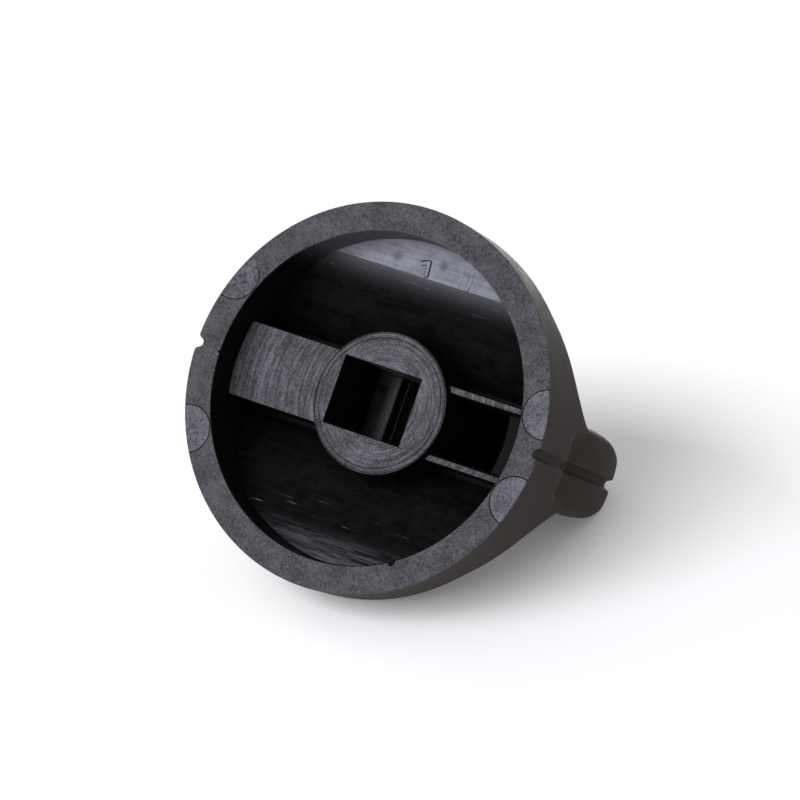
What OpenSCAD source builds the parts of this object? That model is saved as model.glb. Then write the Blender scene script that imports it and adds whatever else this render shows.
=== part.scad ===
// Rotary switch knob, moulded in one piece.
// The rim stands on z = 0 and the knob turns about +Z. The grip runs along X.
// The solid bar is on the -X side of the hub, and the ribs are on the +X side.

/* [Skirt] */
// Outside diameter at the rim
rim_d = 46; // [44:0.5:52]
// Inside diameter of the open mouth
mouth_d = 39.2; // [37:0.2:41]
// Draft of the outside wall, in degrees
skirt_draft = 1.5; // [0:0.5:2]
// Height of the flat shoulders above the rim
shoulder_h = 6.2; // [6:0.1:7.5]

/* [Flanks] */
// Wall thickness of the shoulders and flanks
shell_t = 1.6; // [1.2:0.05:1.9]
// Distance from the middle to where each flank starts to rise
flank_start = 15.8; // [15.5:0.1:17]
// Distance from the middle to where the straight part of each flank ends
flank_end = 10.7; // [10:0.1:12]
// Slope of the straight part, in degrees
flank_slope = 25; // [22:1:28]
// Depth of the flat root of each flank hollow below the rim
hollow_recess = 10.8; // [9.6:0.1:11.4]
// Radius that carries each flank up to the grip
flank_r = 12; // [11:0.5:13]

/* [Grip] */
// Overall height of the knob
knob_h = 26.6; // [25.5:0.1:30]
// Width of the grip where it is widest
grip_w = 10.6; // [10.2:0.1:11.6]
// Height above the rim where the grip is widest
grip_mid_h = 16; // [15:0.1:17]
// Radius across the top of the grip
grip_top_r = 4.1; // [3.6:0.1:4.5]
// Furthest reach of each grip end from the axis
grip_reach = 22.9; // [22.4:0.05:23.2]
// Height above the rim of that furthest reach
grip_end_h = 18.5; // [17.5:0.1:19.5]
// Radius of the barrelled grip ends
grip_end_r = 35; // [30:1:45]
// Radius where each grip end turns into the top
grip_corner_r = 2; // [1:0.1:3]
// Radius of the upright corners of each grip end
grip_side_r = 1.8; // [1.2:0.1:2.2]
// Distance that each grip end bows out past those corners
end_bow = 0.2; // [0.1:0.05:0.3]
// Height above the rim of the valley between skirt wall and grip end
valley_h = 9.6; // [9:0.1:10.2]
// Width of the foot of that valley
valley_w = 7.2; // [6:0.1:7.6]

/* [Pointer groove] */
// Width of the pointer groove
groove_w = 1; // [0.6:0.1:2]
// Depth of the pointer groove
groove_depth = 0.65; // [0.3:0.05:0.9]

/* [Hub] */
// Diameter of the hub at its face
hub_d = 17; // [16.5:0.5:18]
// Draft of the hub wall, in degrees
hub_draft = 3; // [0:0.5:4]
// Depth of the hub face below the rim
hub_recess = 4.25; // [3.5:0.05:4.5]

/* [Socket] */
// Width of the square shaft that the socket takes
shaft_w = 8; // [6:0.1:8.2]
// Difference between the socket and the shaft
shaft_clearance = 0.1; // [0.05:0.05:0.2]
// Depth of the square socket below the hub face
socket_depth = 14.5; // [13:0.5:15]
// Width of the spring lane along one side of the socket
lane_w = 2; // [1:0.1:2.2]
// Depth of the spring lane below the hub face
lane_depth = 12.4; // [10:0.1:12.6]

/* [Bar, ribs and channel] */
// Width of the solid bar, and over the two ribs
bar_w = 9.2; // [9:0.1:9.8]
// Thickness of each rib at its free edge
rib_t = 0.9; // [0.7:0.1:1.2]
// Depth of the free edges of the ribs below the rim
rib_recess = 5.05; // [4.6:0.05:6]
// Depth of the ledge at the outer end of the channel below the rim
ledge_recess = 7; // [6:0.1:8]
// Distance from the axis to the edge of that ledge
ledge_reach = 15.3; // [14:0.1:16]
// Depth of the channel floor below the rim
channel_recess = 20; // [16:0.5:21]
// Width of the channel at its floor
channel_floor_w = 5.8; // [4:0.1:6]

/* [Hidden] */
$fn = 96;
// Overlap of cutters past the faces that they open
over = 1;
rim_r = rim_d / 2;
mouth_r = mouth_d / 2;
floor_h = shoulder_h - shell_t;
socket_half = (shaft_w + shaft_clearance) / 2;

// Curves reach this far past the faces that they run into, so that the two meet in one clean edge
bite = 0.01;

// Lower end of each flank's curve, and the curve's centre, as [distance from the middle, height]
flank_foot = [flank_end, shoulder_h + (flank_start - flank_end) * tan(flank_slope)];
flank_centre = flank_foot + (flank_r - bite) * [sin(flank_slope), cos(flank_slope)];
// Where the straight part starts on the inside, one wall thickness in
crease = flank_start - shell_t * (1 / cos(flank_slope) - 1) / tan(flank_slope);
inner_foot = flank_foot - shell_t * [sin(flank_slope), cos(flank_slope)];

// Side arcs of the grip, which run into its round top
top_centre_h = knob_h - grip_top_r;
top_rise = top_centre_h - grip_mid_h;
run_r = grip_top_r - bite;
side_arc_r = (pow(grip_w / 2, 2) + pow(top_rise, 2) - pow(run_r, 2)) / (grip_w - 2 * run_r);
side_arc_off = side_arc_r - grip_w / 2;
side_arc_top = grip_mid_h + side_arc_r * sin(atan2(top_rise, side_arc_off));
// Depth that the flanks' curves run into the grip's sides, and the height where they end
sink = 0.2;
// The plan of the grip stands this far clear of its side faces
plan_gap = 0.05;

// Height of a flank's curve of radius r at a distance y from the middle
function curve_h(y, r) = flank_centre[1] - sqrt(pow(r, 2) - pow(flank_centre[0] - y, 2));
join_h = curve_h(grip_w / 2 - sink, flank_r);

// Runs an end view, drawn as width and height, along the whole length of the knob
module along_grip() {
    rotate([90, 0, 90]) linear_extrude(height = rim_d + 2 * over, center = true) children();
}

// Closes a list of points on the +Y half with their mirror images
function both_halves(points) = concat(
    points, [for (i = [len(points) - 1:-1:0]) [-points[i][0], points[i][1]]]
);

module both_sides() {
    children();
    mirror([1, 0]) children();
}

// Round bars along both flanks, which cut their curves
module flank_curves(r) {
    along_grip() both_sides() translate(flank_centre) circle(r = r);
}

// End view of the grip: two side arcs under a round top
module grip_outline() {
    foot_h = floor_h;
    intersection() {
        translate([side_arc_off, grip_mid_h]) circle(r = side_arc_r);
        translate([-side_arc_off, grip_mid_h]) circle(r = side_arc_r);
        translate([-grip_w, foot_h]) square([2 * grip_w, side_arc_top - foot_h]);
    }
    translate([0, top_centre_h]) circle(r = grip_top_r);
}

// Side view of one half of the grip, from the axis out to its barrelled end, drawn in by inset
module grip_side(inset = 0) {
    end_r = grip_end_r - inset;
    corner_r = grip_corner_r - inset;
    end_x = grip_reach - grip_end_r;
    corner_h = knob_h - grip_corner_r;
    centre_gap = end_r - corner_r + bite;
    corner_x = end_x + sqrt(pow(centre_gap, 2) - pow(corner_h - grip_end_h, 2));
    turn_h = grip_end_h + end_r * (corner_h - grip_end_h) / centre_gap;
    intersection() {
        translate([end_x, grip_end_h]) circle(r = end_r, $fn = 240);
        translate([0, floor_h]) square([rim_r, turn_h - floor_h]);
    }
    translate([0, floor_h]) square([corner_x, knob_h - inset - floor_h]);
    translate([corner_x, corner_h]) circle(r = corner_r);
}

// Plan of the grip with rounded upright corners
module grip_plan() {
    corner_y = grip_w / 2 + plan_gap - grip_side_r;
    corner_x = grip_reach - grip_side_r - end_bow;
    square([2 * corner_x, grip_w + 2 * plan_gap], center = true);
    square([2 * grip_reach + over, 2 * corner_y], center = true);
    for (x = [-1, 1], y = [-1, 1]) translate([x * corner_x, y * corner_y]) circle(r = grip_side_r);
}

// Skirt, shoulders and flanks, cut back in the middle to the valley under the grip
module skirt_and_flanks() {
    difference() {
        intersection() {
            cylinder(r1 = rim_r, r2 = rim_r - knob_h * tan(skirt_draft), h = knob_h);
            along_grip() polygon(both_halves([
                [rim_r + over, -over],
                [rim_r + over, shoulder_h],
                [flank_start, shoulder_h],
                flank_foot,
                [flank_foot[0], join_h],
                [grip_w / 2 - 2 * sink, join_h],
                [valley_w / 2, valley_h]
            ]));
        }
        flank_curves(flank_r);
    }
}

module grip() {
    intersection() {
        along_grip() grip_outline();
        rotate_extrude() grip_side();
        linear_extrude(height = knob_h) grip_plan();
    }
}

// Groove up both ends and over the top, at one depth, broken by the valley
module pointer_groove() {
    difference() {
        translate([-rim_r - over, -groove_w / 2, -over])
            cube([rim_d + 2 * over, groove_w, valley_h + over]);
        translate([0, 0, -2 * over])
            cylinder(r = rim_r - groove_depth, h = valley_h + 4 * over);
    }
    rotate([90, 0, 0]) linear_extrude(height = groove_w, center = true) difference() {
        translate([-rim_r - over, valley_h]) square([rim_d + 2 * over, knob_h - valley_h + over]);
        both_sides() grip_side(inset = groove_depth);
    }
}

module hub_core() {
    translate([0, 0, hub_recess])
        cylinder(r1 = hub_d / 2, r2 = hub_d / 2 + knob_h * tan(hub_draft), h = knob_h);
}

// Solid bar from wall to hub on one side, and the block that the ribs are cut from on the other
module bar_core() {
    translate([-rim_r, -bar_w / 2, hub_recess]) cube([rim_r, bar_w, knob_h]);
    translate([0, -bar_w / 2, rib_recess]) cube([rim_r, bar_w, knob_h]);
}

// Hollow of the skirt, one wall thickness inside shoulders and flanks, with hub, bar and rib block left standing
module cup() {
    difference() {
        intersection() {
            translate([0, 0, -over]) cylinder(d = mouth_d, h = knob_h);
            along_grip() polygon(both_halves([
                [mouth_r + over, -2 * over],
                [mouth_r + over, floor_h],
                [crease, floor_h],
                inner_foot,
                [inner_foot[0], hollow_recess]
            ]));
        }
        flank_curves(flank_r + shell_t);
        hub_core();
        bar_core();
    }
}

// Channel between the ribs, narrower towards its floor, with a ledge at its outer end
module channel() {
    mouth_w = bar_w - 2 * rib_t;
    difference() {
        intersection() {
            rotate([90, 0, 90]) linear_extrude(height = rim_r) polygon([
                [-mouth_w / 2, hub_recess], [mouth_w / 2, hub_recess],
                [mouth_w / 2, rib_recess], [channel_floor_w / 2, channel_recess],
                [-channel_floor_w / 2, channel_recess], [-mouth_w / 2, rib_recess]
            ]);
            union() {
                cylinder(r = ledge_reach, h = knob_h);
                cylinder(d = mouth_d, h = ledge_recess);
            }
        }
        hub_core();
    }
}

// Square socket with a lane along its -X side for the spring that grips the shaft
module socket() {
    translate([-socket_half, -socket_half, 0])
        cube([2 * socket_half, 2 * socket_half, hub_recess + socket_depth]);
    translate([-socket_half - lane_w, -socket_half, 0])
        cube([lane_w + over, 2 * socket_half, hub_recess + lane_depth - lane_w]);
    translate([-socket_half, 0, hub_recess + lane_depth - lane_w])
        rotate([90, 0, 0]) cylinder(r = lane_w, h = 2 * socket_half, center = true);
}

module knob() {
    color("#2b2a2c") difference() {
        union() {
            skirt_and_flanks();
            grip();
        }
        pointer_groove();
        cup();
        channel();
        socket();
    }
}

knob();
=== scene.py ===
"""Rotary switch knob, moulded in one piece, seen from its open underside.

The CAD node gives the size. One piece of the same form replaces it, with the soft
edges, ground rim, turned hub face and moulded marks of the real knob.
"""

import math

import bpy
from mathutils import Matrix, Vector


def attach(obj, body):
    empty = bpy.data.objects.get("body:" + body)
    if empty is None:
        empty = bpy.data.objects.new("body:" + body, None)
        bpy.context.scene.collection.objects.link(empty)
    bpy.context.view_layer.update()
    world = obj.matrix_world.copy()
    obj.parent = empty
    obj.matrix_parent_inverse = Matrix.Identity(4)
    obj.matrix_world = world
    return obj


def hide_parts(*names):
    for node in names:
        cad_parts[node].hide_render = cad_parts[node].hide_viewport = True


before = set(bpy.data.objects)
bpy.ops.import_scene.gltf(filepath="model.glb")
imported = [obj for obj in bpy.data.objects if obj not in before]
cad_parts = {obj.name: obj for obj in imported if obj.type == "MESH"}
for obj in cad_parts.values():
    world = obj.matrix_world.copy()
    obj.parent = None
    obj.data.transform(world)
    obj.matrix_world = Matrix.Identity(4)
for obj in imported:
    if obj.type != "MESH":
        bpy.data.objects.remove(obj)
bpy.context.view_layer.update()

MM = 0.001

# Sizes in millimetres, as in the part's source.
RIM_R = 23.0
MOUTH_R = 19.6
SKIRT_DRAFT = math.radians(1.5)
SHOULDER_H = 6.2
SHELL_T = 1.6
FLANK_START = 15.8
FLANK_END = 10.7
FLANK_SLOPE = math.radians(25)
FLANK_R = 12.0
HOLLOW_TOP = 10.8
KNOB_H = 26.6
GRIP_W = 10.6
GRIP_MID_H = 16.0
GRIP_TOP_R = 4.1
GRIP_REACH = 22.9
GRIP_END_H = 18.5
GRIP_END_R = 35.0
GRIP_CORNER_R = 2.0
GRIP_SIDE_R = 1.8
VALLEY_H = 9.6
VALLEY_W = 7.2
GROOVE_W = 1.0
GROOVE_DEPTH = 0.65
HUB_R = 8.5
HUB_DRAFT = math.radians(3)
HUB_RECESS = 4.25
SOCKET_HALF = 4.05
SOCKET_DEPTH = 14.5
LANE_W = 2.0
LANE_DEPTH = 12.4
BAR_W = 9.2
RIB_T = 0.9
RIB_RECESS = 5.05
LEDGE_RECESS = 7.0
LEDGE_REACH = 15.3
CHANNEL_RECESS = 20.0
CHANNEL_FLOOR_W = 5.8

# Where the flank's straight part ends, and the middle of the curve above it.
FOOT_Y = FLANK_END
FOOT_Z = SHOULDER_H + (FLANK_START - FLANK_END) * math.tan(FLANK_SLOPE)
CURVE_Y = FOOT_Y + FLANK_R * math.sin(FLANK_SLOPE)
CURVE_Z = FOOT_Z + FLANK_R * math.cos(FLANK_SLOPE)

# The shelf is the flat floor of the hollow, outside the flank.
SHELF_H = SHOULDER_H - SHELL_T

# Softened edges, how finely the outside is meshed, and in how many rounds it is smoothed.
EDGE_BREAK = 0.12
HOLLOW_EDGE = 0.15
SHARP = math.radians(30)
SKIN_GRID = 0.25
SMOOTHING = 0.5
FORM_ROUNDS = 18
GROOVE_ROUNDS = 5

# The grip's end meets the skirt outside this radius, this near the middle, and between these heights.
JUNCTION_R = 20
JUNCTION_HALF = 4.5
JUNCTION_H = (7, 12.5)
JUNCTION_ROUNDS = 30

# Ejector pins in the rim, as the angle and the depth of each ring. The pin with this place in
# the list is scuffed, and no face of a pin has an area of more than so many square millimetres.
PIN_R = 2.95
PIN_RING = 22.7
PIN_GROOVE = 0.13
PIN_MARKS = ((15.2, 0.14), (-11.5, 0.07), (153.7, 0.12), (-157.1, 0.03))
KNOCKED_PIN = 3
PIN_AREA = 30

# Rings turned in the hub face, and nicks in the mouth's edge, as the angle and radius of each.
HUB_RINGS = (8.3, 7.75)
RING_W = 0.1
RING_DEPTH = 0.05
MOUTH_NICKS = ((179.2, 0.38), (31.8, 0.3), (59, 0.75), (-64, 0.6), (-69.5, 0.9), (-75, 0.7))

# The raised numeral on the shelf, with a groove round it.
STEM_TOP = (-0.05, -17.3)
STEM_FOOT = (0.1, -15.82)
FLAG_TIP = (-0.8, -16.98)
STROKE = 0.44
NUMERAL_H = 0.16
MOAT_W = 0.12
MOAT_DEPTH = 0.15

# Where the core side is grey: the edge band from and to along Y, worn and with painted sheen; the band
# of flecks, which are light scratches and painted glints; the depth past which the bore is lighter;
# spots as x, y and radius, and the middle of the scratches with the radii between which they fade.
EDGE_WEAR_AND_SHEEN = (-11.4, -15.5)
FLECKS_AND_GLINTS = (12.5, 15.5)
BORE_LIGHTER_DEPTH = 8.5
SHELF_SPOTS = ((-4.2, -17, 0.9), (1.9, -17.5, 0.75))
SCRATCHED = (5.2, -16.2, 4.6)
SCRATCH_REACH = (2.4, 1.8)

# Lengths that reach past the knob, how near counts as the same place, and which way a flat
# face that looks down points.
PAST = 25.0
LONG = 60.0
NEAR = 1e-3
FLUSH = 0.02
FACES_DOWN = -0.95


# Modelling


def deselect_all():
    for o in bpy.context.selected_objects:
        o.select_set(False)


def make_active(obj):
    deselect_all()
    obj.select_set(True)
    bpy.context.view_layer.objects.active = obj


def settle(obj, name):
    """Names a new primitive and moves its place into its mesh."""
    obj.name = obj.data.name = name
    make_active(obj)
    bpy.ops.object.transform_apply(location=True, rotation=True, scale=True)
    return obj


def round_bar(name, r, centre, length, axis="Z", segments=256, r2=None):
    """A cylinder or cone about its middle point, in millimetres."""
    turn = {"X": (0, math.pi / 2, 0), "Y": (-math.pi / 2, 0, 0), "Z": (0, 0, 0)}[axis]
    deselect_all()
    bpy.ops.mesh.primitive_cone_add(
        vertices=segments,
        radius1=r * MM,
        radius2=(r if r2 is None else r2) * MM,
        depth=length * MM,
        location=[c * MM for c in centre],
        rotation=turn,
    )
    return settle(bpy.context.object, name)


def block(name, low, high):
    """A box between two corners, in millimetres."""
    deselect_all()
    bpy.ops.mesh.primitive_cube_add(size=1, location=[(a + b) / 2 * MM for a, b in zip(low, high)])
    bpy.context.object.scale = [(b - a) * MM for a, b in zip(low, high)]
    return settle(bpy.context.object, name)


def edit(obj, action="SELECT"):
    """Opens edit mode with every vertex selected, or with none."""
    make_active(obj)
    bpy.ops.object.mode_set(mode="EDIT")
    bpy.ops.mesh.select_mode(type="VERT")
    bpy.ops.mesh.select_all(action=action)


def done():
    bpy.ops.object.mode_set(mode="OBJECT")


def cut_loop(obj, point, normal):
    """Cuts a loop of edges right round a mesh, at a plane."""
    edit(obj)
    bpy.ops.mesh.bisect(plane_co=[c * MM for c in point], plane_no=normal, threshold=1e-7)
    done()


def select_verts(obj, wanted):
    """Selects vertices by their place in millimetres, and leaves edit mode open."""
    edit(obj, "DESELECT")
    done()
    for v in obj.data.vertices:
        v.select = wanted(*(c / MM for c in v.co))
    bpy.ops.object.mode_set(mode="EDIT")


def narrow_level(obj, z, across, along):
    """Narrows the vertices at one height, by a share across X and one along Y."""
    select_verts(obj, lambda vx, vy, vz: abs(vz - z) < NEAR)
    bpy.ops.transform.resize(value=(across, along, 1), center_override=(0, 0, z * MM))
    done()


def combine(obj, other, how):
    """A boolean with another mesh, which is then deleted."""
    mod = obj.modifiers.new(how.lower(), "BOOLEAN")
    mod.operation = how
    mod.object = other
    mod.solver = "EXACT"
    mod.material_mode = "TRANSFER"
    make_active(obj)
    bpy.ops.object.modifier_apply(modifier=mod.name)
    bpy.data.objects.remove(other)
    return obj


def ridge(name, low_z, stations):
    """A bar along X whose top follows stations of (distance from the middle, height)."""
    reach = stations[0][0]
    top = max(h for _, h in stations)
    obj = block(name, (-reach, -reach, low_z), (reach, reach, top))
    for y, _ in stations[1:]:
        cut_loop(obj, (0, y, 0), (0, 1, 0))
        cut_loop(obj, (0, -y, 0), (0, 1, 0))
    for y, h in stations:
        if abs(h - top) > 1e-6:
            select_verts(obj, lambda vx, vy, vz: abs(abs(vy) - y) < NEAR and abs(vz - top) < NEAR)
            bpy.ops.transform.translate(value=(0, 0, (h - top) * MM))
            done()
    return obj


def skirt_and_flanks():
    """Skirt with shoulders and flanks. It runs on below the rim, where it is cut off later."""
    below = 3.0
    top = 13.95
    spare = 1
    steep = 0.1
    inset = 0.4
    skirt = round_bar(
        "skirt",
        RIM_R + below * math.tan(SKIRT_DRAFT),
        (0, 0, (top - below) / 2 + spare / 2),
        top + below + spare,
        r2=RIM_R - (top + spare) * math.tan(SKIRT_DRAFT),
    )
    form = ridge(
        "flank form",
        -below,
        [
            (PAST, SHOULDER_H),
            (FLANK_START, SHOULDER_H),
            (FOOT_Y, FOOT_Z),
            (FOOT_Y - steep, top),
            (GRIP_W / 2 - inset, top),
            (VALLEY_W / 2, VALLEY_H),
        ],
    )
    combine(skirt, form, "INTERSECT")
    for side in (-1, 1):
        curve = round_bar("curve", FLANK_R, (0, side * CURVE_Y, CURVE_Z), LONG, "X", segments=512)
        combine(skirt, curve, "DIFFERENCE")
    return skirt


def barrel(name, grow):
    """A barrelled bar about Z with a rounded top edge: it gives the grip its ends."""
    step = 1.4
    steps = 14
    r = GRIP_REACH + grow
    obj = round_bar(name, r, (0, 0, (SHELF_H + KNOB_H + grow) / 2), KNOB_H + grow - SHELF_H)
    levels = [SHELF_H] + [SHELF_H + step + step * i for i in range(steps)]
    for z in levels[1:]:
        cut_loop(obj, (0, 0, z), (0, 0, 1))
    for z in levels + [KNOB_H + grow]:
        here = r - (GRIP_END_R - math.sqrt(GRIP_END_R**2 - (z - GRIP_END_H) ** 2))
        narrow_level(obj, z, here / r, here / r)
    select_verts(obj, lambda vx, vy, vz: abs(vz - KNOB_H - grow) < NEAR)
    bpy.ops.mesh.select_mode(type="EDGE")
    bpy.ops.mesh.bevel(
        offset=(GRIP_CORNER_R + grow) * MM, segments=8, affect="EDGES", clamp_overlap=False
    )
    done()
    return obj


def grip_plan():
    """The grip's outline from above, with rounded corners, as an upright block."""
    reach = 22.7
    spare = 0.05
    half = GRIP_W / 2
    plan = block("plan", (-reach, -half - spare, 0), (reach, half + spare, KNOB_H + 1))
    edit(plan, "DESELECT")
    done()
    for e in plan.data.edges:
        a, b = (plan.data.vertices[i].co for i in e.vertices)
        upright = abs(a.z - b.z) > 10 * MM
        e.select = upright
    bpy.ops.object.mode_set(mode="EDIT")
    bpy.ops.mesh.select_mode(type="EDGE")
    bpy.ops.mesh.bevel(offset=GRIP_SIDE_R * MM, segments=10, affect="EDGES")
    done()
    inner = half - GRIP_SIDE_R
    return combine(plan, block("middle", (-PAST, -inner, 0), (PAST, inner, KNOB_H + 1)), "UNION")


def grip():
    """The raised grip: two side arcs under a round top, with barrelled ends and soft corners."""
    reach = 24.0
    top_c = KNOB_H - GRIP_TOP_R
    rise = top_c - GRIP_MID_H
    side_r = ((GRIP_W / 2) ** 2 + rise**2 - GRIP_TOP_R**2) / (GRIP_W - 2 * GRIP_TOP_R)
    off = side_r - GRIP_W / 2
    arc_top = GRIP_MID_H + side_r * math.sin(math.atan2(rise, off))
    body = block("grip", (-reach, -GRIP_W, SHELF_H), (reach, GRIP_W, arc_top))
    for side in (-1, 1):
        arc = round_bar("side arc", side_r, (0, side * off, GRIP_MID_H), LONG, "X", segments=720)
        combine(body, arc, "INTERSECT")
    # A hair over size, so that no face of the round top falls on one of the arcs.
    crown = round_bar("round top", GRIP_TOP_R + 0.01, (0, 0, top_c), 2 * reach, "X")
    combine(body, crown, "UNION")
    combine(body, barrel("ends", 0), "INTERSECT")
    combine(body, grip_plan(), "INTERSECT")
    return body


def pointer_groove():
    """The cutters for the groove up both ends and over the top, broken by the valley."""
    reach = 26
    below = -5
    half_gap = 0.3
    wide = GROOVE_W / 2 + 0.05
    deep = GROOVE_DEPTH + 0.2
    low = block("groove", (-reach, -wide, below), (reach, wide, VALLEY_H - half_gap))
    combine(low, round_bar("groove floor", RIM_R - deep, (0, 0, 0), 40), "DIFFERENCE")
    high = block("upper groove", (-reach, -wide, VALLEY_H + half_gap), (reach, wide, KNOB_H + 2))
    combine(high, barrel("upper groove floor", -deep), "DIFFERENCE")
    return low, high


def hub():
    """The drafted hub, which runs up into the grip."""
    length = 18.0
    top_r = HUB_R + length * math.tan(HUB_DRAFT)
    middle = (0, 0, HUB_RECESS + length / 2)
    return round_bar("hub", HUB_R, middle, length, segments=128, r2=top_r)


def cavity():
    """The hollow underneath, as the solid that cuts it."""
    crease = FLANK_START - SHELL_T * (1 / math.cos(FLANK_SLOPE) - 1) / math.tan(FLANK_SLOPE)
    in_y = FOOT_Y - SHELL_T * math.sin(FLANK_SLOPE)
    in_z = FOOT_Z - SHELL_T * math.cos(FLANK_SLOPE)
    low, high = -2, 12
    steep = 0.1
    cup = round_bar("cavity", MOUTH_R, (0, 0, (low + high) / 2), high - low, segments=192)
    stations = [(PAST, SHELF_H), (crease, SHELF_H), (in_y, in_z), (in_y - steep, HOLLOW_TOP)]
    combine(cup, ridge("hollow form", low - 1, stations), "INTERSECT")
    for side in (-1, 1):
        middle = (0, side * CURVE_Y, CURVE_Z)
        curve = round_bar("inner curve", FLANK_R + SHELL_T, middle, LONG, "X", segments=320)
        combine(cup, curve, "DIFFERENCE")
    core = hub()
    half = BAR_W / 2
    combine(core, block("bar", (-PAST, -half, HUB_RECESS), (0, half, KNOB_H)), "UNION")
    combine(core, block("ribs", (0, -half, RIB_RECESS), (PAST, half, KNOB_H)), "UNION")
    combine(cup, core, "DIFFERENCE")
    return cup


def channel():
    """The channel between the ribs, narrower towards its floor, with a ledge at its outer end."""
    overlap = 0.4
    length = 24
    mouth = BAR_W / 2 - RIB_T
    floor = CHANNEL_FLOOR_W / 2
    obj = block("channel", (0, -mouth, RIB_RECESS - overlap), (PAST, mouth, CHANNEL_RECESS))
    cut_loop(obj, (0, 0, RIB_RECESS), (0, 0, 1))
    narrow_level(obj, CHANNEL_RECESS, 1, floor / mouth)
    reach = round_bar("reach", LEDGE_REACH, (0, 0, length / 2), length, segments=128)
    ledge = round_bar("ledge", MOUTH_R, (0, 0, LEDGE_RECESS / 2), LEDGE_RECESS, segments=192)
    combine(reach, ledge, "UNION")
    combine(obj, reach, "INTERSECT")
    combine(obj, hub(), "DIFFERENCE")
    return obj


def socket():
    """The square socket, with the spring lane along its bar side."""
    s = SOCKET_HALF
    start = 2
    overlap = 0.5
    lane_z = HUB_RECESS + LANE_DEPTH - LANE_W
    obj = block("socket", (-s, -s, start), (s, s, HUB_RECESS + SOCKET_DEPTH))
    lane = block("lane", (-s - LANE_W, -s, start), (-s + overlap, s, lane_z))
    lane_floor = round_bar("lane floor", LANE_W, (-s, 0, lane_z), 2 * s, "Y", segments=64)
    combine(lane, lane_floor, "UNION")
    combine(obj, lane, "UNION")
    return obj


def fine_mark(x, y, z):
    """Whether a point in millimetres lies on the numeral or on a ring round the hub."""
    half_w, past_top, past_foot = 1.2, 0.5, 0.36
    between = HUB_RINGS[-1] - 2 * RING_W < math.hypot(x, y) < HUB_RINGS[0] + RING_W / 2
    on_ring = between and abs(z - HUB_RECESS) < 2 * RING_DEPTH
    level = STEM_TOP[1] - past_top < y < STEM_FOOT[1] + past_foot
    on_numeral = level and abs(x - FLAG_TIP[0] / 2) < half_w and z < SHELF_H + 2 * MOAT_DEPTH
    return on_ring or on_numeral


def soften(obj, width, spared):
    """Rounds the sharp edges, apart from those with an end that is spared."""
    edit(obj)
    bpy.ops.mesh.select_mode(type="EDGE")
    bpy.ops.mesh.select_all(action="DESELECT")
    bpy.ops.mesh.edges_select_sharp(sharpness=SHARP)
    done()
    ends = [spared(*(c / MM for c in v.co)) for v in obj.data.vertices]
    for e in obj.data.edges:
        if e.select and any(ends[i] for i in e.vertices):
            e.select = False
    bpy.ops.object.mode_set(mode="EDIT")
    bpy.ops.mesh.bevel(offset=width * MM, segments=2, affect="EDGES", clamp_overlap=False)
    done()


def clean(obj, gap=0.06):
    """Joins vertices that a cut left almost together."""
    edit(obj)
    bpy.ops.mesh.remove_doubles(threshold=gap * MM)
    done()


def stroke(name, start, end, wide, low, high):
    """A bar with round ends from one point to another, for a numeral."""
    dx, dy = end[0] - start[0], end[1] - start[1]
    mid_z = (low + high) / 2
    deselect_all()
    bpy.ops.mesh.primitive_cube_add(
        size=1,
        location=((start[0] + end[0]) / 2 * MM, (start[1] + end[1]) / 2 * MM, mid_z * MM),
        rotation=(0, 0, math.atan2(dy, dx)),
    )
    bpy.context.object.scale = [math.hypot(dx, dy) * MM, wide * MM, (high - low) * MM]
    bar = settle(bpy.context.object, name)
    for x, y in (start, end):
        # A hair over size, so that the round end doesn't just touch the bar's sides.
        tip = round_bar("round end", wide / 2 + 0.002, (x, y, mid_z), high - low, segments=24)
        combine(bar, tip, "UNION")
    return bar


def numeral(wide, low, high):
    """The plain numeral on the shelf, between two heights. Its flag is thinner than its stem."""
    one = stroke("numeral", STEM_TOP, STEM_FOOT, wide, low, high)
    return combine(one, stroke("flag", STEM_TOP, FLAG_TIP, 0.8 * wide, low, high), "UNION")


def mouth_flare():
    """The cutter that breaks the inner edge of the rim."""
    reach = 3 * EDGE_BREAK
    middle_r = MOUTH_R + EDGE_BREAK
    return round_bar("mouth flare", middle_r + reach, (0, 0, 0), 2 * reach, r2=middle_r - reach)


def turned_ring(name, r, width, centre, depth, segments=128):
    """The cutter for a fine ring groove."""
    ring = round_bar(name, r, centre, 2 * depth, segments=segments)
    middle = round_bar("middle", r - width, centre, 4 * depth, segments=segments)
    return combine(ring, middle, "DIFFERENCE")


def pin_centre(angle):
    return PIN_RING * math.cos(math.radians(angle)), PIN_RING * math.sin(math.radians(angle))


def pin_ring(angle, depth):
    return turned_ring("pin ring", PIN_R, PIN_GROOVE, (*pin_centre(angle), 0), depth)


def nick(angle, r):
    """The cutter for a small knock in the mouth's edge: longer than wide, shallow and tilted."""
    a = math.radians(angle)
    x, y = MOUTH_R * math.cos(a), MOUTH_R * math.sin(a)
    deselect_all()
    bpy.ops.mesh.primitive_ico_sphere_add(
        subdivisions=2,
        radius=r * MM,
        location=(x * MM, y * MM, -0.1 * r * MM),
        rotation=(0.1, 0.05, x + y),
    )
    bpy.context.object.scale = (1, 0.6, 0.5)
    return settle(bpy.context.object, "nick")


def joined(objects):
    """Several cutters that don't touch, as one mesh."""
    deselect_all()
    for o in objects:
        o.select_set(True)
    bpy.context.view_layer.objects.active = objects[0]
    bpy.ops.object.join()
    return objects[0]


def even_skin(obj, rounds):
    """Rebuilds a mesh as an even skin, and softens its edges by so many rounds."""
    mod = obj.modifiers.new("skin", "REMESH")
    mod.mode = "VOXEL"
    mod.voxel_size = SKIN_GRID * MM
    make_active(obj)
    bpy.ops.object.modifier_apply(modifier=mod.name)
    mod = obj.modifiers.new("soft edges", "SMOOTH")
    mod.factor = SMOOTHING
    mod.iterations = rounds
    bpy.ops.object.modifier_apply(modifier=mod.name)


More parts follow.
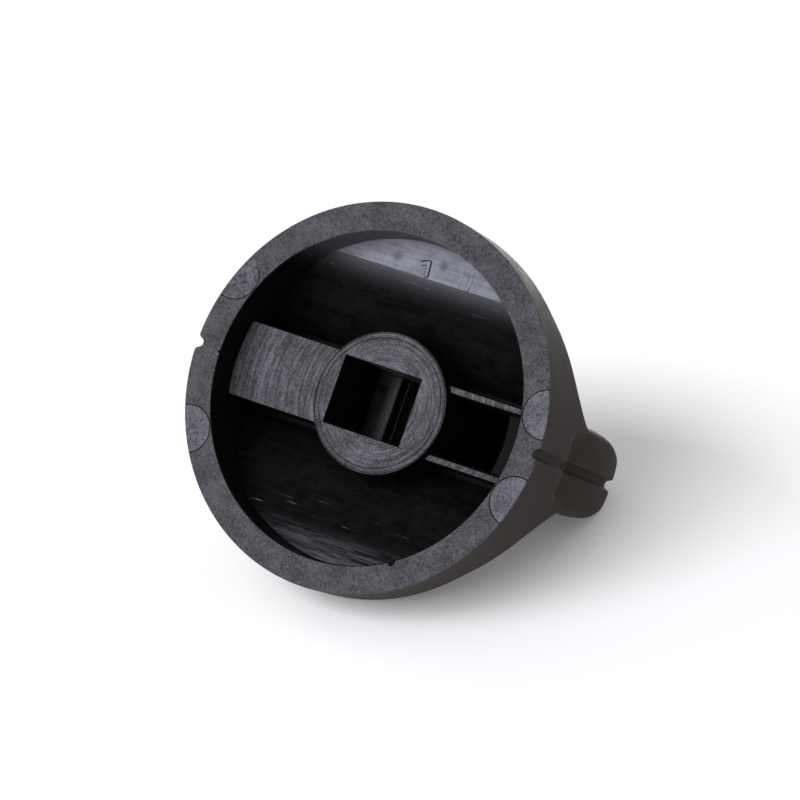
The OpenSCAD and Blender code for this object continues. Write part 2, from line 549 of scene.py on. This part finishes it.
def flat_rim(obj):
    """Cuts the body off just above the rim, and brings it down to a flat rim with a rounded edge.

    Each step goes down and draws in by a share of the edge's width.
    """
    edit(obj)
    bpy.ops.mesh.bisect(
        plane_co=(0, 0, EDGE_BREAK * MM),
        plane_no=(0, 0, 1),
        clear_inner=True,
        use_fill=True,
        threshold=1e-7,
    )
    for down, shrink in ((0.6, 0.2), (0.4, 0.6)):
        drop = (0, 0, -down * EDGE_BREAK * MM)
        bpy.ops.mesh.extrude_region_move(TRANSFORM_OT_translate={"value": drop})
        size = 1 - shrink * EDGE_BREAK / RIM_R
        bpy.ops.transform.resize(value=(size, size, 1), center_override=(0, 0, 0))
    done()


def at_junction(x, y, z):
    """Whether a point in millimetres lies where the grip's end meets the skirt."""
    low, high = JUNCTION_H
    return math.hypot(x, y) > JUNCTION_R and abs(y) < JUNCTION_HALF and low < z < high


def one_material(obj, mat):
    obj.data.materials.clear()
    obj.data.materials.append(mat)


def outer_body(skin, inside):
    """The outside under one soft skin, and the rim with its broken edges and marks."""
    obj = skirt_and_flanks()
    combine(obj, grip(), "UNION")
    even_skin(obj, FORM_ROUNDS)
    select_verts(obj, at_junction)
    bpy.ops.mesh.vertices_smooth(factor=SMOOTHING, repeat=JUNCTION_ROUNDS)
    done()
    for cutter in pointer_groove():
        combine(obj, cutter, "DIFFERENCE")
    even_skin(obj, GROOVE_ROUNDS)
    flat_rim(obj)
    one_material(obj, skin)
    rings = [pin_ring(angle, depth) for angle, depth in PIN_MARKS]
    nicks = [nick(angle, r) for angle, r in MOUTH_NICKS]
    for cutter in (mouth_flare(), joined(rings), joined(nicks)):
        one_material(cutter, inside)
        combine(obj, cutter, "DIFFERENCE")
    return obj


def hollow_form(inside):
    """All that is cut away underneath, as one solid with rounded edges."""
    hollow = cavity()
    combine(hollow, channel(), "UNION")
    combine(hollow, socket(), "UNION")
    clean(hollow)
    for r in HUB_RINGS:
        ring = turned_ring("hub ring", r, RING_W, (0, 0, HUB_RECESS), RING_DEPTH, segments=256)
        combine(hollow, ring, "UNION")
    overlap = 0.5
    moat = numeral(STROKE + 2 * MOAT_W, SHELF_H - overlap, SHELF_H + MOAT_DEPTH)
    combine(hollow, moat, "UNION")
    raised = numeral(STROKE, SHELF_H - NUMERAL_H, SHELF_H + 2 * MOAT_DEPTH)
    combine(hollow, raised, "DIFFERENCE")
    soften(hollow, HOLLOW_EDGE, fine_mark)
    one_material(hollow, inside)
    return hollow


def finish_of(face, pins):
    """The finish that a face takes, by its place and the way it faces, or none for its own."""
    x, y, z = (c / MM for c in face.center)
    deep = z - HUB_RECESS
    if face.normal.z <= FACES_DOWN:
        if z < FLUSH / 2:
            gaps = [math.hypot(x - px, y - py) for px, py in pins]
            if min(gaps) >= PIN_R or face.area >= PIN_AREA * MM**2:
                return "rim"
            return "knocked" if gaps[KNOCKED_PIN] == min(gaps) else "pin"
        if abs(deep) < FLUSH or (abs(z - RIB_RECESS) < FLUSH and x > 0):
            return "turned"
        if min(abs(z - SHELF_H), abs(z - SHELF_H + NUMERAL_H)) < FLUSH:
            return "shelf"
    if 0 < z < EDGE_BREAK and math.hypot(x, y) > 0.95 * RIM_R:
        return "rim"
    on_lane_side = abs(y) < SOCKET_HALF + 0.1 and -HUB_R < x < 0
    if on_lane_side and BORE_LIGHTER_DEPTH < deep < SOCKET_DEPTH + 0.1:
        return "bore"
    return None


def knob_body(skin, inside, **finishes):
    """The whole moulding, each face with its own finish."""
    obj = outer_body(skin, inside)
    combine(obj, hollow_form(inside), "DIFFERENCE")
    slots = {}
    for name, mat in finishes.items():
        slots[name] = len(obj.data.materials)
        obj.data.materials.append(mat)
    pins = [pin_centre(angle) for angle, _ in PIN_MARKS]
    for face in obj.data.polygons:
        finish = finish_of(face, pins)
        if finish:
            face.material_index = slots[finish]
    obj.name = obj.data.name = "knob_moulding"
    return obj


# Materials

# The refractive index of nylon.
NYLON_IOR = 1.53


def linear(text):
    """An sRGB hex colour as linear values."""
    parts = [int(text[i : i + 2], 16) / 255 for i in (1, 3, 5)]
    return [c / 12.92 if c <= 0.04045 else ((c + 0.055) / 1.055) ** 2.4 for c in parts] + [1]


def per_mm(size):
    """A texture's scale for a pattern of this size in millimetres."""
    return 1 / (size * MM)


def add_node(tree, kind, links=None, values=None, **settings):
    """Adds a node. Links and values name its sockets by name or number."""
    node = tree.nodes.new(kind)
    for key, value in settings.items():
        setattr(node, key, value)
    for socket, value in (values or {}).items():
        node.inputs[socket].default_value = value
    for socket, source in (links or {}).items():
        tree.links.new(source, node.inputs[socket])
    return node


def new_material(name):
    mat = bpy.data.materials.new(name)
    mat.use_nodes = True
    mat.node_tree.nodes.clear()
    return mat, mat.node_tree


def nylon(mat, tree, colour, dull, bump, gloss, tint="#ffffff"):
    """Ends a nylon finish with its shader. Gloss is the same all over."""
    shader = add_node(
        tree,
        "ShaderNodeBsdfPrincipled",
        {"Base Color": colour, "Roughness": dull, "Normal": bump},
        {"IOR": NYLON_IOR, "Specular IOR Level": gloss, "Specular Tint": linear(tint)},
    )
    add_node(tree, "ShaderNodeOutputMaterial", {"Surface": shader.outputs[0]})
    return mat


def ring_lines(tree, place):
    """Rings about Z. Real turning marks lie about 0.1 mm apart, and are drawn at 0.3 mm to show."""
    ring_mm = 0.3
    stretch = 20
    flat = add_node(
        tree, "ShaderNodeVectorMath", {0: place}, {1: (1, 1, 0)}, operation="MULTIPLY"
    ).outputs[0]
    away = add_node(tree, "ShaderNodeVectorMath", {0: flat}, operation="LENGTH").outputs["Value"]
    depth = add_node(
        tree, "ShaderNodeMath", {0: away}, {1: stretch}, operation="MULTIPLY"
    ).outputs[0]
    parts = add_node(tree, "ShaderNodeSeparateXYZ", {0: flat}).outputs
    spread = add_node(tree, "ShaderNodeCombineXYZ", {0: parts[0], 1: parts[1], 2: depth}).outputs[0]
    return add_node(
        tree,
        "ShaderNodeTexNoise",
        {"Vector": spread},
        {"Scale": per_mm(ring_mm * stretch), "Detail": 3, "Roughness": 0.75},
    ).outputs["Fac"]


def ground_face(name, dark, light, grit, rings=0):
    """Glass-filled nylon, cut flat: short fibres show as grey grain of this grit, in patches.

    A turned face has fine rings as well. Glass fibres are far thinner than the grit, which is
    drawn as coarse as it needs to show.
    """
    patch_mm = 2.6
    patch_share = 0.35
    mat, tree = new_material(name)
    place = add_node(tree, "ShaderNodeTexCoord").outputs["Object"]
    grain = add_node(
        tree,
        "ShaderNodeTexNoise",
        {"Vector": place},
        {"Scale": per_mm(grit), "Detail": 3, "Roughness": 0.75, "Distortion": 1.2},
    ).outputs["Fac"]
    patch = add_node(
        tree,
        "ShaderNodeTexNoise",
        {"Vector": place},
        {"Scale": per_mm(patch_mm), "Detail": 2, "Roughness": 0.6},
    ).outputs["Fac"]
    mix = add_node(
        tree, "ShaderNodeMath", {0: patch, 2: grain}, {1: patch_share}, operation="MULTIPLY_ADD"
    ).outputs[0]
    if rings:
        lines = ring_lines(tree, place)
        mix = add_node(
            tree, "ShaderNodeMath", {0: lines, 2: mix}, {1: rings}, operation="MULTIPLY_ADD"
        ).outputs[0]
    middle = 0.5 * (1 + patch_share + rings)
    tone = add_node(
        tree,
        "ShaderNodeMapRange",
        {"Value": mix},
        {"From Min": middle - 0.13, "From Max": middle + 0.2},
    ).outputs[0]
    colour = add_node(
        tree, "ShaderNodeMix", {0: tone}, {6: linear(dark), 7: linear(light)}, data_type="RGBA"
    ).outputs[2]
    dull = add_node(
        tree, "ShaderNodeMapRange", {"Value": tone}, {"To Min": 0.78, "To Max": 0.58}
    ).outputs[0]
    bump = add_node(
        tree, "ShaderNodeBump", {"Height": mix}, {"Strength": 0.5, "Distance": 0.03 * MM}
    ).outputs[0]
    return nylon(mat, tree, colour, dull, bump, 0.3)


def satin_skin(name, dark, light):
    """Glass-filled nylon, as moulded in a satin cavity: an even brown-black sheen, faintly grained."""
    grain_mm = 0.3
    rub_mm = 5
    mat, tree = new_material(name)
    place = add_node(tree, "ShaderNodeTexCoord").outputs["Object"]
    grain = add_node(
        tree,
        "ShaderNodeTexNoise",
        {"Vector": place},
        {"Scale": per_mm(grain_mm), "Detail": 2, "Roughness": 0.6},
    ).outputs["Fac"]
    rub = add_node(
        tree,
        "ShaderNodeTexNoise",
        {"Vector": place},
        {"Scale": per_mm(rub_mm), "Detail": 4, "Roughness": 0.65},
    ).outputs["Fac"]
    tone = add_node(
        tree, "ShaderNodeMapRange", {"Value": rub}, {"From Min": 0.35, "From Max": 0.65}
    ).outputs[0]
    colour = add_node(
        tree, "ShaderNodeMix", {0: tone}, {6: linear(dark), 7: linear(light)}, data_type="RGBA"
    ).outputs[2]
    dull = add_node(
        tree, "ShaderNodeMapRange", {"Value": tone}, {"To Min": 0.5, "To Max": 0.62}
    ).outputs[0]
    bump = add_node(
        tree, "ShaderNodeBump", {"Height": grain}, {"Strength": 0.35, "Distance": 0.02 * MM}
    ).outputs[0]
    return nylon(mat, tree, colour, dull, bump, 0.055, "#fff0ea")


def scratches(tree, place):
    """Thin wandering lines down the shelf, round one place: 0.7 on a scratch, and 0 beside it."""
    wander_mm = 1
    down = add_node(
        tree, "ShaderNodeVectorMath", {0: place}, {1: (1, 0.2, 1)}, operation="MULTIPLY"
    ).outputs[0]
    wander = add_node(
        tree, "ShaderNodeTexNoise", {"Vector": down}, {"Scale": per_mm(wander_mm), "Detail": 1}
    ).outputs["Fac"]
    off = add_node(tree, "ShaderNodeMath", {0: wander}, {1: 0.5}, operation="SUBTRACT").outputs[0]
    off = add_node(tree, "ShaderNodeMath", {0: off}, operation="ABSOLUTE").outputs[0]
    line = add_node(
        tree,
        "ShaderNodeMapRange",
        {"Value": off},
        {"From Min": 0.003, "From Max": 0.016, "To Min": 0.7, "To Max": 0},
    ).outputs[0]
    away = add_node(
        tree,
        "ShaderNodeVectorMath",
        {0: place},
        {1: [c * MM for c in SCRATCHED]},
        operation="DISTANCE",
    ).outputs["Value"]
    here = add_node(
        tree,
        "ShaderNodeMapRange",
        {"Value": away},
        {"From Min": SCRATCH_REACH[0] * MM, "From Max": SCRATCH_REACH[1] * MM},
    ).outputs[0]
    return add_node(tree, "ShaderNodeMath", {0: line, 1: here}, operation="MULTIPLY").outputs[0]


def shelf_wear_and_reflection(tree, place, across, streak, tone):
    """How grey the shelf is: rubbed wear with painted reflection of the light, most towards -Y, and
    painted streaky highlights near the mouth on the +Y side.
    """
    # Painted reflection: the shelf is painted lighter towards -Y, where the key light is mirrored, on
    # top of its rubbed wear.
    side = add_node(
        tree,
        "ShaderNodeMapRange",
        {"Value": across},
        {"From Min": HUB_R * MM, "From Max": -FLANK_START * MM},
    ).outputs[0]
    even = add_node(
        tree, "ShaderNodeMapRange", {"Value": tone}, {"To Min": 0.6, "To Max": 1}
    ).outputs[0]
    grey = add_node(tree, "ShaderNodeMath", {0: even, 1: side}, operation="MULTIPLY").outputs[0]
    # Painted streaky highlights: lighter in streaks towards the mouth on the +Y side.
    far = add_node(
        tree,
        "ShaderNodeMapRange",
        {"Value": across},
        {"From Min": FLANK_START * MM, "From Max": MOUTH_R * MM, "To Max": 0.45},
    ).outputs[0]
    drawn = add_node(
        tree, "ShaderNodeMapRange", {"Value": streak}, {"From Min": 0.4, "From Max": 0.6}
    ).outputs[0]
    grey = add_node(
        tree, "ShaderNodeMath", {0: far, 1: drawn, 2: grey}, operation="MULTIPLY_ADD"
    ).outputs[0]
    for x, y, r in SHELF_SPOTS:
        away = add_node(
            tree,
            "ShaderNodeVectorMath",
            {0: place},
            {1: (x * MM, y * MM, SHELF_H * MM)},
            operation="DISTANCE",
        ).outputs["Value"]
        spot = add_node(
            tree,
            "ShaderNodeMapRange",
            {"Value": away},
            {"From Min": 0.4 * r * MM, "From Max": r * MM, "To Min": 0.6},
        ).outputs[0]
        grey = add_node(tree, "ShaderNodeMath", {0: grey, 1: spot}, operation="MULTIPLY").outputs[0]
    line = scratches(tree, place)
    kept = add_node(tree, "ShaderNodeMath", {1: line}, {0: 1}, operation="SUBTRACT").outputs[0]
    return add_node(tree, "ShaderNodeMath", {0: grey, 1: kept}, operation="MULTIPLY").outputs[0]


def shelf_dulled(tree, across, dull):
    """The shelf on the +Y side is matt beside its flank and takes a polish towards the mouth."""
    inner = add_node(
        tree,
        "ShaderNodeMapRange",
        {"Value": across},
        {"From Min": MOUTH_R * MM, "From Max": FLANK_START * MM, "To Max": 0.5},
    ).outputs[0]
    plus_side = add_node(
        tree, "ShaderNodeMath", {0: across}, {1: 0}, operation="GREATER_THAN"
    ).outputs[0]
    return add_node(
        tree, "ShaderNodeMath", {0: inner, 1: plus_side, 2: dull}, operation="MULTIPLY_ADD"
    ).outputs[0]


def edge_wear_and_glints(tree, across, streak):
    """How grey the flank is: along its edge at the -Y shelf, worn and with painted sheen that carries
    the shelf's light into the flank, and in flecks near both shelves, light scratches mixed with
    painted glints.
    """
    # Painted sheen as well as wear: a grey band along the flank's edge at the -Y shelf.
    near = add_node(
        tree,
        "ShaderNodeMapRange",
        {"Value": across},
        {"From Min": EDGE_WEAR_AND_SHEEN[0] * MM, "From Max": EDGE_WEAR_AND_SHEEN[1] * MM},
    ).outputs[0]
    edge = add_node(tree, "ShaderNodeMath", {0: near}, {1: 3}, operation="POWER").outputs[0]
    # Painted glints as well as light scratches: grey flecks near both shelves.
    fleck = add_node(
        tree,
        "ShaderNodeMapRange",
        {"Value": streak},
        {"From Min": 0.66, "From Max": 0.72, "To Max": 0.9},
    ).outputs[0]
    out = add_node(tree, "ShaderNodeMath", {0: across}, operation="ABSOLUTE").outputs[0]
    beside = add_node(
        tree,
        "ShaderNodeMapRange",
        {"Value": out},
        {"From Min": FLECKS_AND_GLINTS[0] * MM, "From Max": FLECKS_AND_GLINTS[1] * MM},
    ).outputs[0]
    fleck = add_node(tree, "ShaderNodeMath", {0: fleck, 1: beside}, operation="MULTIPLY").outputs[0]
    return add_node(
        tree, "ShaderNodeMath", {0: edge, 2: fleck}, {1: 0.34}, operation="MULTIPLY_ADD"
    ).outputs[0]


def polished_core(name, dark, light, grey_of_wear_and_sheen, gloss, rubbed_and_sheen=False):
    """Glass-filled nylon, as moulded on a polished core: near black, with draw marks along the grip.

    On the shelf the grey is rubbed wear with painted reflection and painted streaky highlights.
    Elsewhere only an edge and a few flecks are grey: partly wear, partly painted sheen and glints.
    """
    streak_mm = 0.35
    blot_mm = 1.6
    mat, tree = new_material(name)
    place = add_node(tree, "ShaderNodeTexCoord").outputs["Object"]
    along = add_node(
        tree, "ShaderNodeVectorMath", {0: place}, {1: (0.06, 1, 0.5)}, operation="MULTIPLY"
    ).outputs[0]
    streak = add_node(
        tree,
        "ShaderNodeTexNoise",
        {"Vector": along},
        {"Scale": per_mm(streak_mm), "Detail": 3, "Roughness": 0.7},
    ).outputs["Fac"]
    blot = add_node(
        tree,
        "ShaderNodeTexNoise",
        {"Vector": place},
        {"Scale": per_mm(blot_mm), "Detail": 3, "Roughness": 0.6},
    ).outputs["Fac"]
    wear = add_node(tree, "ShaderNodeMath", {0: streak, 1: blot}, operation="ADD").outputs[0]
    tone = add_node(
        tree, "ShaderNodeMapRange", {"Value": wear}, {"From Min": 0.75, "From Max": 1.15}
    ).outputs[0]
    colour = add_node(
        tree, "ShaderNodeMix", {0: tone}, {6: linear(dark), 7: linear(light)}, data_type="RGBA"
    ).outputs[2]
    dull = add_node(
        tree, "ShaderNodeMapRange", {"Value": tone}, {"To Min": 0.26, "To Max": 0.42}
    ).outputs[0]
    across = add_node(tree, "ShaderNodeSeparateXYZ", {0: place}).outputs[1]
    if rubbed_and_sheen:
        grey = shelf_wear_and_reflection(tree, place, across, streak, tone)
        dull = shelf_dulled(tree, across, dull)
    else:
        grey = edge_wear_and_glints(tree, across, streak)
    # Mixes in the grey of wear together with painted reflection, sheen and glints.
    colour = add_node(
        tree, "ShaderNodeMix", {0: grey, 6: colour}, {7: linear(grey_of_wear_and_sheen)}, data_type="RGBA"
    ).outputs[2]
    bump = add_node(
        tree, "ShaderNodeBump", {"Height": wear}, {"Strength": 0.3, "Distance": 0.02 * MM}
    ).outputs[0]
    return nylon(mat, tree, colour, dull, bump, gloss)


knob = knob_body(
    satin_skin("glass-filled nylon, satin moulded skin", "#2c2725", "#322c2a"),
    # The core's grey edge and flecks are wear with painted sheen and glints.
    polished_core("glass-filled nylon, polished core side", "#080707", "#131213", "#8c8c96", 0.015),
    rim=ground_face("glass-filled nylon, ground rim", "#232326", "#4f4f56", 0.3),
    pin=ground_face("glass-filled nylon, ejector pin face", "#343439", "#6c6c76", 0.3),
    knocked=ground_face("glass-filled nylon, knocked pin face", "#232326", "#5e5e66", 0.5),
    turned=ground_face("glass-filled nylon, turned hub face", "#26262a", "#5c5c64", 0.26, 0.9),
    # The shelf's grey is rubbed wear with painted reflection and painted streaky highlights.
    shelf=polished_core(
        "glass-filled nylon, rubbed shelf", "#0b0b0c", "#151517", "#8a8a95", 0.03, rubbed_and_sheen=True
    ),
    # The lane side of the bore, deep in the socket, is a lighter grey.
    bore=polished_core(
        "glass-filled nylon, lighter lane side of the bore", "#2c2c2e", "#4a4a4e", "#8c8c96", 0.2
    ),
)
make_active(knob)
bpy.ops.object.shade_smooth_by_angle(angle=SHARP)
mod = knob.modifiers.new("flat faces stay flat", "WEIGHTED_NORMAL")
mod.keep_sharp = True
bpy.ops.object.modifier_apply(modifier=mod.name)
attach(knob, "root")
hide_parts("knob")


# Camera, floor and light

# The camera's own directions, and where it stands in millimetres.
RIGHT = Vector((0.8583, -0.3292, 0.3936))
DOWN = Vector((0.2853, 0.9437, 0.1672))
AHEAD = Vector((-0.4265, -0.0313, 0.9039))
CAMERA_AT = Vector((249.2, 17.0, -518.9))

# The knob lies on its side in the photograph: the table's upward direction is in the knob's frame.
TABLE_UP = Vector((0, -0.692, -0.722))
TABLE_DROP = 20.4
TABLE_MIDDLE = Vector((28, 0, 0)) - TABLE_UP * TABLE_DROP
TABLE_FADE = (30, 46)
TABLE_GLOW = 0.07

# The knob stands on its rim in the other views. The floor lies a hair below it.
FLOOR_Z = -0.05
FLOOR_FADE = (50, 260)
FLOOR_GLOW = 0.05
BOARD_SIZE = 6

# The softboxes stand this far from the middle of the knob, in metres.
LAMP_AWAY = 0.9
LAMP_AIM = Vector((0, 0, 0.012))

camera = bpy.data.objects.new("camera", bpy.data.cameras.new("camera"))
bpy.context.scene.collection.objects.link(camera)
camera.data.lens = 225
camera.data.sensor_width = 36
camera.data.clip_start = 0.01
camera.data.clip_end = 20
camera_turn = Matrix((RIGHT, -DOWN, -AHEAD)).transposed().to_4x4()
camera.matrix_world = Matrix.Translation(CAMERA_AT * MM) @ camera_turn
bpy.context.scene.camera = camera


def hidden_above_floor(tree):
    """1 where a camera ray meets the table above the floor without having come up through it."""
    path = add_node(tree, "ShaderNodeLightPath").outputs
    at = add_node(tree, "ShaderNodeNewGeometry").outputs["Position"]
    height = add_node(tree, "ShaderNodeSeparateXYZ", {0: at}).outputs[2]
    above = add_node(
        tree, "ShaderNodeMath", {0: height}, {1: FLOOR_Z * MM}, operation="GREATER_THAN"
    ).outputs[0]
    direct = add_node(
        tree, "ShaderNodeMath", {0: path["Transparent Depth"]}, {1: 0.5}, operation="LESS_THAN"
    ).outputs[0]
    bare = add_node(tree, "ShaderNodeMath", {0: above, 1: direct}, operation="MULTIPLY").outputs[0]
    return add_node(
        tree, "ShaderNodeMath", {0: bare, 1: path["Is Camera Ray"]}, operation="MULTIPLY"
    ).outputs[0]


def board_finish(name, glow, fade, under_floor=False):
    """Pale matt board, seen from its upper side alone. It fades out between two radii in mm."""
    mat, tree = new_material(name)
    board = add_node(tree, "ShaderNodeBsdfDiffuse", values={"Color": linear("#fafafa")})
    light = add_node(tree, "ShaderNodeEmission", values={"Strength": glow})
    lit = add_node(tree, "ShaderNodeAddShader", {0: board.outputs[0], 1: light.outputs[0]})
    clear = add_node(tree, "ShaderNodeBsdfTransparent")
    place = add_node(tree, "ShaderNodeTexCoord").outputs["Object"]
    away = add_node(tree, "ShaderNodeVectorMath", {0: place}, operation="LENGTH").outputs["Value"]
    out = add_node(
        tree,
        "ShaderNodeMapRange",
        {"Value": away},
        {"From Min": fade[0] * MM, "From Max": fade[1] * MM},
    ).outputs[0]
    back = add_node(tree, "ShaderNodeNewGeometry").outputs["Backfacing"]
    unseen = add_node(tree, "ShaderNodeMath", {0: back, 1: out}, operation="MAXIMUM").outputs[0]
    if under_floor:
        bare = hidden_above_floor(tree)
        unseen = add_node(
            tree, "ShaderNodeMath", {0: unseen, 1: bare}, operation="MAXIMUM"
        ).outputs[0]
    both = add_node(
        tree, "ShaderNodeMixShader", {0: unseen, 1: lit.outputs[0], 2: clear.outputs[0]}
    )
    add_node(tree, "ShaderNodeOutputMaterial", {"Surface": both.outputs[0]})
    return mat


def pale_board(name, up, at, finish):
    """A wide board whose upper side faces up. It neither lights nor shades the knob."""
    deselect_all()
    bpy.ops.mesh.primitive_plane_add(
        size=BOARD_SIZE, location=at * MM, rotation=up.to_track_quat("Z", "Y").to_euler()
    )
    board = bpy.context.object
    board.name = name
    board.data.materials.append(finish)
    board.visible_diffuse = board.visible_glossy = False
    board.visible_transmission = board.visible_shadow = False
    return board


table_top = board_finish("pale board, lying knob", TABLE_GLOW, TABLE_FADE, under_floor=True)
table = pale_board("table", TABLE_UP, TABLE_MIDDLE, table_top)
table.visible_glossy = True
floor_top = board_finish("pale board, standing knob", FLOOR_GLOW, FLOOR_FADE)
pale_board("floor", Vector((0, 0, 1)), Vector((0, 0, FLOOR_Z)), floor_top)


def softbox(name, direction, side, power, colour):
    """A square lamp of this side in metres and power in watts, aimed at the knob."""
    lamp = bpy.data.objects.new(name, bpy.data.lights.new(name, "AREA"))
    bpy.context.scene.collection.objects.link(lamp)
    lamp.data.shape = "SQUARE"
    lamp.data.size = side
    lamp.data.energy = power
    lamp.data.color = linear(colour)[:3]
    aim = Vector(direction).normalized()
    lamp.location = aim * LAMP_AWAY + LAMP_AIM
    lamp.rotation_euler = aim.to_track_quat("Z", "Y").to_euler()


softbox("key", -0.66 * RIGHT - 0.25 * DOWN - 0.71 * AHEAD, 0.65, 6.5, "#f8faff")
softbox("glare", -0.71 * RIGHT - 0.30 * DOWN - 0.63 * AHEAD, 0.3, 0.8, "#f4f7ff")
softbox("top fill", (-0.3, -0.6, 0.8), 0.6, 4, "#ffffff")
softbox("back fill", (0.5, 0.7, 0.5), 0.6, 2, "#ffffff")

# The studio is white where it is seen, and half as bright where it lights the knob.
world = bpy.data.worlds.new("studio")
bpy.context.scene.world = world
world.use_nodes = True
studio = world.node_tree
studio.nodes.clear()
path = add_node(studio, "ShaderNodeLightPath").outputs
seen = path["Is Camera Ray"]
for ray in ("Is Glossy Ray", "Is Transmission Ray"):
    seen = add_node(studio, "ShaderNodeMath", {0: seen, 1: path[ray]}, operation="MAXIMUM").outputs[0]
level = add_node(studio, "ShaderNodeMapRange", {"Value": seen}, {"To Min": 0.5, "To Max": 1})
white = add_node(
    studio, "ShaderNodeBackground", {"Strength": level.outputs[0]}, {"Color": (1, 1, 1, 1)}
)
add_node(studio, "ShaderNodeOutputWorld", {"Surface": white.outputs[0]})

bpy.context.scene.view_settings.view_transform = "Standard"
